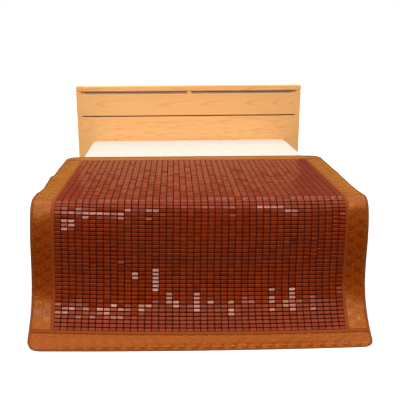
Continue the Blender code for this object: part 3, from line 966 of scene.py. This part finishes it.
class MAT_OT_seam_stitches(bpy.types.Operator):
    """Sews running stitches along both seams of the border and along the binding"""

    bl_idname = "bamboo_mat.seam_stitches"
    bl_label = "Seam stitches"

    def execute(self, context):
        """A stitch is a small box, narrower at its top, turned along its seam and laid on the mat."""
        settings = context.scene.mat_cloth
        pitch = settings.stitch_pitch
        down = np.arange(FIELD_HEAD + pitch, FIELD_FOOT, pitch)
        edge = MAT_HALF - BINDING_WIDTH
        over = np.arange(pitch - edge, edge, pitch)
        lines = [loop_path(BINDING_WIDTH - STITCH_SETBACK, pitch)[:3]]
        for line in (-FIELD_HALF - STRIP_WIDTH - STITCH_SETBACK,
                     FIELD_HALF + STRIP_WIDTH + STITCH_SETBACK):
            lines.append((line + 0 * down, down, 0 * down))
        for line in (FIELD_FOOT + STRIP_WIDTH + STITCH_SETBACK,
                     FIELD_HEAD - STRIP_WIDTH - STITCH_SETBACK):
            lines.append((over, line + 0 * over, 0 * over + math.pi / 2))
        across, along, outward = (np.concatenate(group) for group in zip(*lines))
        height = np.repeat([STITCH_HEIGHT_BINDING, STITCH_HEIGHT_BROCADE],
                           [len(lines[0][0]), len(across) - len(lines[0][0])])
        base = np.array([(-1, -1), (1, -1), (1, 1), (-1, 1)])
        flat = np.concatenate([base, base * (0.6, 0.7)])
        way, aside = flat[:, 0] * settings.stitch_length / 2, flat[:, 1] * STITCH_WIDTH / 2
        lift = np.repeat([-STITCH_RISE, STITCH_RISE], 4)
        along_seam = outward + math.pi / 2
        x = across[:, None] + np.cos(along_seam)[:, None] * way - np.sin(along_seam)[:, None] * aside
        y = along[:, None] + np.sin(along_seam)[:, None] * way + np.cos(along_seam)[:, None] * aside
        points = drape(x, y, height[:, None] + lift)
        box = np.array([(0, 1, 2, 3), (4, 7, 6, 5), (0, 4, 5, 1), (1, 5, 6, 2), (2, 6, 7, 3),
                        (3, 7, 4, 0)])
        faces = repeat_faces([box], 8, len(across))
        thread = satin("sewing thread", settings.thread, 0.1, 0.5)
        stitches = new_piece("seam_stitches", points.reshape(-1, 3), faces, thread,
                             fibre_map(x, y).reshape(-1, 2))
        finish_piece(stitches, "edge_binding")
        return {"FINISHED"}


class MAT_OT_bamboo_tiles(bpy.types.Operator):
    bl_idname = "bamboo_mat.bamboo_tiles"
    bl_label = "Bamboo tiles"

    def execute(self, context):
        """A tile's points turn by small angles, point + tilt x point, and lie along its own axes."""
        settings = context.scene.mat_tiles
        shape, faces = tile_shape(settings)
        middle, axes, tilt, tone = tile_places(settings)
        count = TILE_ROWS * TILE_COLUMNS
        local = shape + np.cross(tilt.reshape(count, 1, 3), shape[None])
        points = middle.reshape(count, 1, 3) + local @ axes.reshape(count, 3, 3)
        chance = np.random.default_rng(FIBRE_SEED)
        flat_map = shape[None, :, :2] + chance.uniform(0, FIBRE_SPREAD, (count, 1, 2))
        # Depth runs from 0 at the crown to 1 at the sole and places the painted gap shade.
        depth = -shape[:, 2] / settings.body
        tiles = new_piece("bamboo_tiles", points.reshape(-1, 3),
                          repeat_faces(faces, len(shape), count), bamboo(settings),
                          flat_map.reshape(-1, 2),
                          {"tone": np.repeat(tone.ravel(), len(shape)),
                           "depth": np.tile(depth, count)},
                          smooth=[True, True, False, False])
        finish_piece(tiles, "bamboo_tile", "tile_field")
        names = [kind + side for kind in ("satin_strip_", "brocade_") for side in SIDES]
        names += ["edge_binding", "seam_stitches", "stringing_cords"]
        return {"FINISHED"}


# The bed.


def mattress_section():
    """The mattress's outline from the side: y and z down a chain over the top and one under it.

    Each chain runs from the middle of the foot end to the middle of the head end by a quarter
    circle, a straight line and a quarter circle, in as many points as the other.
    """
    low, high = MATTRESS_LOW, MATTRESS_HIGH
    middle = (low.z + high.z) / 2
    chains = []
    for face, radius in ((high.z, MATTRESS_FOOT_RADIUS), (low.z, MATTRESS_EDGE_RADIUS)):
        away = math.copysign(1, face - middle)
        turn = np.linspace(0, math.pi / 2, MATTRESS_CORNER_CELLS + 1)
        foot = np.stack([low.y + radius * (1 - np.cos(turn)),
                         face - away * radius * (1 - np.sin(turn))], axis=1)
        edge = MATTRESS_EDGE_RADIUS
        head = np.stack([high.y - edge * (1 - np.cos(turn)),
                         face - away * edge * (1 - np.sin(turn))], axis=1)[::-1]
        flat = np.linspace(foot[-1], head[0], MATTRESS_LONG_CELLS + 1)[1:-1]
        ends = ((low.y, middle), (high.y, middle))
        chains.append(np.concatenate([ends[:1], foot, flat, head, ends[1:]]))
    return chains


def ticking(colour):
    """Off-white mattress cloth: a plain weave of two crossing threads and soft creases, with painted
    shade where the creases sink.
    """
    material, place = new_material("mattress ticking")
    x, y, z = parts_of(place)
    pitch = math.tau / TICKING_THREAD
    warp = (x * pitch).apply("SINE")
    weft = ((y + z) * pitch).apply("SINE")
    weave = warp * weft * 0.5 + 0.5
    crease_and_shade = noise(place, 14, detail=4)
    # Painted shade: the cloth is darker where the creases sink.
    shade = blend(crease_and_shade * 0.7 + weave * 0.3, tint(colour, 0.86), colour)
    return dress(material, relief=weave * 0.3 + crease_and_shade, depth=0.0012, Base_Color=shade,
                 Roughness=0.85 + 0.1 * (crease_and_shade - 0.5), Sheen_Weight=0.25)


class BED_OT_mattress_cover(bpy.types.Operator):
    """Makes the mattress: a padded block with rounded edges, quilted in rows across its top"""

    bl_idname = "bamboo_mat.mattress_cover"
    bl_label = "Mattress"

    def execute(self, context):
        """The outline from the side is carried across the bed. At each side it moves in by
        R (1 - sin t) and out by R (1 - cos t) as t turns a quarter, which rounds the edge. The top
        sinks by bell curves round the lines of a square grid, fading down the sides.
        """
        settings = context.scene.mat_bed
        over, under = mattress_section()
        loop = np.concatenate([over, under[-2:0:-1]])
        middle = (loop.max(axis=0) + loop.min(axis=0)) / 2
        half = (MATTRESS_HIGH.x - MATTRESS_LOW.x) / 2
        radius = MATTRESS_SIDE_RADIUS
        turn = np.linspace(0, math.pi / 2, MATTRESS_CORNER_CELLS + 1)
        inset = np.concatenate([radius * (1 - np.sin(turn)), np.zeros(MATTRESS_WIDE_CELLS - 1),
                                radius * (1 - np.sin(turn[::-1]))])
        side = half - radius * (1 - np.cos(turn))
        reach = np.concatenate([side, np.linspace(side[-1], -side[-1], MATTRESS_WIDE_CELLS + 1)[1:-1],
                                -side[::-1]])
        room = np.abs(loop - middle)
        pull = np.clip(room / np.max(room, axis=0), 0, 1)
        inward = -np.sign(loop - middle) * np.where(pull > 0.999, 1.0, pull ** 6)
        yz = loop[None] + inward[None] * inset[:, None, None]
        x = np.broadcast_to(reach[:, None], yz.shape[:2])
        rows = yz[..., 0] / settings.quilt
        groove = np.exp(-((rows - np.round(rows)) * settings.quilt / QUILT_GROOVE_WIDTH) ** 2)
        across = x / settings.quilt
        dimple = np.exp(-((across - np.round(across)) * settings.quilt / QUILT_GROOVE_WIDTH) ** 2)
        level = np.clip(1 - (MATTRESS_HIGH.z - yz[..., 1]) / QUILT_FADE, 0, 1)
        sink = settings.quilt_depth * level * np.maximum(groove, dimple)
        points = np.stack([x + BED_MIDDLE, yz[..., 0], yz[..., 1] - sink], axis=-1)
        rings, count = len(reach), len(loop)
        chain = len(over)
        top = np.arange(1, chain - 1)
        below = count - np.arange(1, chain - 1)
        cap = np.stack([top[:-1], below[:-1], below[1:], top[1:]], axis=1)
        ends = np.array([(0, below[0], 1), (chain - 1, chain - 2, below[-1])])
        last = (rings - 1) * count
        faces = [np.concatenate([grid_faces(rings, count, wrap_columns=True), cap,
                                 cap[:, ::-1] + last]),
                 np.concatenate([ends, ends[:, ::-1] + last])]
        cover = new_piece("mattress_cover", points.reshape(-1, 3), faces,
                          ticking(settings.cover))
        finish_piece(cover, "ticking", "mattress")
        return {"FINISHED"}


def wood(name, grain, light, dark, figured=False):
    """Lacquered wood with its grain along one axis: thin growth lines, fine pores and soft mottling.

    The lines lie where the sine of the growth is near 0. The growth is a noise that is long along the
    grain. On a figured board it also falls with the square of the way from the board's middle line
    and rises along it, which nests the lines in flames.
    """
    material, place = new_material(name)
    along = np.array([axis == grain for axis in "XYZ"])
    bend = noise(place, 1.0, detail=3, roughness=0.5, stretch=tuple(np.where(along, 1.3, 14.0)))
    slow = noise(place, 1.0, detail=1, stretch=tuple(np.where(along, 0.9, 2.5)))
    growth = bend * 11.0 + slow * 6.0
    if figured:
        x, _, z = parts_of(place)
        low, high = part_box("upper_panel")
        off = z - (low.z * 0.45 + high.z * 0.55) + (bend - 0.5) * 0.020
        growth = x * 3.6 + slow * 5.0 - off * off * 700.0 + bend * 1.4
    lines = abs((growth * math.pi).apply("SINE")).step(-0.1, 0.6)
    pore = noise(place, 1.0, detail=2, roughness=0.6, stretch=tuple(np.where(along, 14.0, 750.0)))
    shade = blend(lines * 0.42 + pore * 0.30 + slow * 0.5 - 0.06, dark, light)
    return dress(material, relief=pore, depth=0.0001, Base_Color=shade,
                 Roughness=0.38 + 0.12 * pore, Coat_Weight=0.25, Coat_Roughness=0.2)


class BED_OT_woodwork(bpy.types.Operator):
    """Gives the boards, rails and legs their woods, with the grain along each board"""

    bl_idname = "bamboo_mat.woodwork"
    bl_label = "Woodwork"

    def execute(self, context):
        settings = context.scene.mat_bed
        light, dark, shade = settings.wood_light, settings.wood_dark, settings.shade
        woods = {axis: wood("honey wood along " + axis, axis, light, dark) for axis in "XYZ"}
        woods["figured"] = wood("honey wood with flame grain", "X", light, dark, figured=True)
        woods["shade"] = wood("shaded wood", "X", shade, tint(shade, 0.6))
        kinds = {
            "X": ("deck", "foot_rail", "top_rail", "lower_panel", "slot_spacer_left",
                  "slot_spacer_middle", "slot_spacer_right", "gap_spacer_left", "gap_spacer_right"),
            "Y": ("side_rail_left", "side_rail_right"),
            "Z": ("foot_leg_left", "foot_leg_right", "head_post_left", "head_post_right"),
            "figured": ("upper_panel",),
            "shade": ("slot_back",),
        }
        for kind, names in kinds.items():
            for name in names:
                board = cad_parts[name]
                board.data.materials.clear()
                board.data.materials.append(woods[kind])
        self.close_gap(woods["shade"])
        return {"FINISHED"}

    def close_gap(self, shade):
        """A thin board behind the gap between the two panels: a rounded oblong carried across."""
        panel_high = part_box("lower_panel")[1]
        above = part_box("upper_panel")[0].z
        left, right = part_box("gap_spacer_left")[0].x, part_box("gap_spacer_right")[1].x
        middle = (panel_high.z + above) / 2
        half = GAP_BACK_HEIGHT / 2
        bevel = GAP_BACK_BEVEL
        y = panel_high.y + np.array([0, GAP_BACK_THICKNESS - bevel, GAP_BACK_THICKNESS,
                                     GAP_BACK_THICKNESS, GAP_BACK_THICKNESS - bevel, 0])
        z = middle + np.array([-half, -half, bevel - half, half - bevel, half, half])
        x = np.array([left, right])[:, None] + 0 * y
        points = np.stack(np.broadcast_arrays(x, y, z), axis=-1)[None]
        board = new_piece("gap_back", points.reshape(-1, 3), tubes(points), shade,
                          smooth=[False] * 3)
        finish_piece(board, "shaded_wood")


# The studio.


class STUDIO_OT_stage(bpy.types.Operator):
    """Sets the pale floor, the soft light and the camera at the photograph's angle"""

    bl_idname = "bamboo_mat.stage"
    bl_label = "Stage"

    def execute(self, context):
        settings = context.scene.mat_studio
        scene = context.scene
        self.lay_floor(settings.floor)
        self.light_sky(scene, settings)
        box = bpy.data.lights.new("key_light", "AREA")
        box.shape = "RECTANGLE"
        box.size, box.size_y = settings.key_width, settings.key_depth
        box.energy = settings.key
        key = bpy.data.objects.new("key_light", box)
        way = Vector((0, -math.cos(settings.key_height), math.sin(settings.key_height)))
        key.location = Vector(KEY_AIM) + way * settings.key_distance
        key.location.x += settings.key_side
        key.rotation_euler = way.to_track_quat("Z", "Y").to_euler()
        key.visible_camera = False
        scene.collection.objects.link(key)
        lens = bpy.data.cameras.new("camera")
        lens.lens = settings.lens
        lens.shift_x = settings.shift
        lens.clip_end = CAMERA_REACH
        camera = bpy.data.objects.new("camera", lens)
        camera.location = settings.camera
        upright = Euler((math.pi / 2 - settings.pitch, 0, -settings.yaw)).to_matrix()
        lean = Euler((0, 0, settings.roll)).to_matrix()
        camera.rotation_euler = (upright @ lean).to_euler()
        scene.collection.objects.link(camera)
        scene.camera = camera
        scene.view_settings.view_transform = "Standard"
        return {"FINISHED"}

    def lay_floor(self, colour):
        material, place = new_material("pale floor")
        speck = noise(place, 3.0, detail=3)
        shade = blend(speck, colour, tint(colour, 1.04))
        dress(material, Base_Color=shade, Roughness=0.9)
        across, along = np.meshgrid((-FLOOR_REACH, FLOOR_REACH), (-FLOOR_REACH, FLOOR_REACH))
        points = np.stack([across, along, 0 * across + FLOOR_HEIGHT], axis=-1).reshape(-1, 3)
        floor = new_piece("floor", points, [grid_faces(2, 2)], material)
        floor.visible_glossy = False
        floor.visible_diffuse = False

    def light_sky(self, scene, settings):
        """Bright overhead and dim near the floor, and plain white where the camera sees it."""
        world = bpy.data.worlds.new("studio")
        world.use_nodes = True
        tree = world.node_tree
        coordinates = Wire(tree, tree.nodes.new("ShaderNodeTexCoord").outputs["Generated"])
        _, depth, height = parts_of(coordinates)
        glow = height.step(*SKY_RAMP) * (settings.sky - settings.low_sky)
        glow = glow + depth.step(*BACKDROP_RAMP) * height.step(-0.1, 0.1) * settings.backdrop
        seen = Wire(tree, tree.nodes.new("ShaderNodeLightPath").outputs["Is Camera Ray"])
        strength = (glow + settings.low_sky) * (1 - seen) + seen
        background = tree.nodes["Background"]
        tree.links.new(blend(seen, SKY_TINT, (1.0, 1.0, 1.0)).socket, background.inputs["Color"])
        tree.links.new(strength.socket, background.inputs["Strength"])
        scene.world = world


class MAT_PT_panel(bpy.types.Panel):
    """Every size, colour and step of the mat and its bed"""

    bl_idname = "MAT_PT_panel"
    bl_label = "Bamboo mat"
    bl_space_type = "VIEW_3D"
    bl_region_type = "UI"
    bl_category = "Bamboo mat"

    def draw(self, context):
        layout = self.layout
        for group, (kind, steps) in GROUPS.items():
            settings = getattr(context.scene, group)
            for key in kind.__annotations__:
                layout.prop(settings, key)
            for step in steps:
                layout.operator(step.bl_idname)


GROUPS = {
    "mat_bed": (BedSettings, (BED_OT_mattress_cover, BED_OT_woodwork)),
    "mat_cloth": (MatClothSettings, (MAT_OT_satin_strips, MAT_OT_brocade_border,
                                     MAT_OT_edge_binding, MAT_OT_seam_stitches)),
    "mat_tiles": (MatTileSettings, (MAT_OT_stringing_cords, MAT_OT_bamboo_tiles)),
    "mat_studio": (StudioSettings, (STUDIO_OT_stage,)),
}


def register():
    for group, (kind, steps) in GROUPS.items():
        bpy.utils.register_class(kind)
        setattr(bpy.types.Scene, group, bpy.props.PointerProperty(type=kind))
        for step in steps:
            bpy.utils.register_class(step)
    bpy.utils.register_class(MAT_PT_panel)


def unregister():
    bpy.utils.unregister_class(MAT_PT_panel)
    for group, (kind, steps) in reversed(GROUPS.items()):
        for step in reversed(steps):
            bpy.utils.unregister_class(step)
        delattr(bpy.types.Scene, group)
        bpy.utils.unregister_class(kind)


def main():
    register()
    for kind, steps in GROUPS.values():
        for step in steps:
            getattr(bpy.ops.bamboo_mat, step.bl_idname.partition(".")[2])()


if __name__ == "__main__":
    main()
